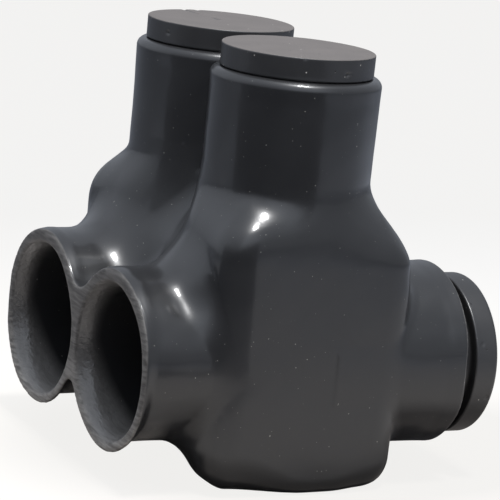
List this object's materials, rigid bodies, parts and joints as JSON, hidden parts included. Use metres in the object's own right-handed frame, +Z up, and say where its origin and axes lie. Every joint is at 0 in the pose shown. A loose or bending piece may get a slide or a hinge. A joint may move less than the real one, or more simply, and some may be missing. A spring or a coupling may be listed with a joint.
{
  "type": "insulated splice connector",
  "caption": "Insulated splice connector with a dip-moulded cover, wire entry sleeves, screw towers with push-in caps, and plugs that close the unused entries.",
  "frame": {"origin": "centre of the flat base, under the middle of the metal block and midway between the two wire bores", "axes": "+X along the wires towards the plugged sleeves, +Y across from the front wire to the rear wire, +Z up the screw towers"},
  "size_m": [0.0652, 0.059, 0.0706],
  "materials": {
    "cover": "glossy dip-moulded PVC plastisol, charcoal",
    "cap": "matte moulded synthetic rubber, dark warm grey",
    "block": "tin-plated aluminium, satin",
    "screw": "turned aluminium, plain"
  },
  "bodies": {
    "connector": {"housing": "cover", "connector_block": "block"},
    "screw_front": {"set_screw_front": "screw"},
    "screw_rear": {"set_screw_rear": "screw"},
    "cap_front": {"access_cap_front": "cap"},
    "cap_rear": {"access_cap_rear": "cap"},
    "plug_front": {"port_plug_front": "cap"},
    "plug_rear": {"port_plug_rear": "cap"}
  },
  "joints": [
    {"name": "cap_front_pull", "type": "slide", "parent": "connector", "child": "cap_front", "axis": [0, 0, 1], "range_m": [0, 0.02]},
    {"name": "plug_front_pull", "type": "slide", "parent": "connector", "child": "plug_front", "axis": [1, 0, 0], "range_m": [0, 0.02]},
    {"name": "screw_front_drive", "type": "slide", "parent": "connector", "child": "screw_front", "axis": [0, 0, -1], "range_m": [0, 0.014]},
    {"name": "cap_rear_pull", "type": "slide", "parent": "connector", "child": "cap_rear", "axis": [0, 0, 1], "range_m": [0, 0.02]},
    {"name": "plug_rear_pull", "type": "slide", "parent": "connector", "child": "plug_rear", "axis": [1, 0, 0], "range_m": [0, 0.02]},
    {"name": "screw_rear_drive", "type": "slide", "parent": "connector", "child": "screw_rear", "axis": [0, 0, -1], "range_m": [0, 0.014]}
  ]
}
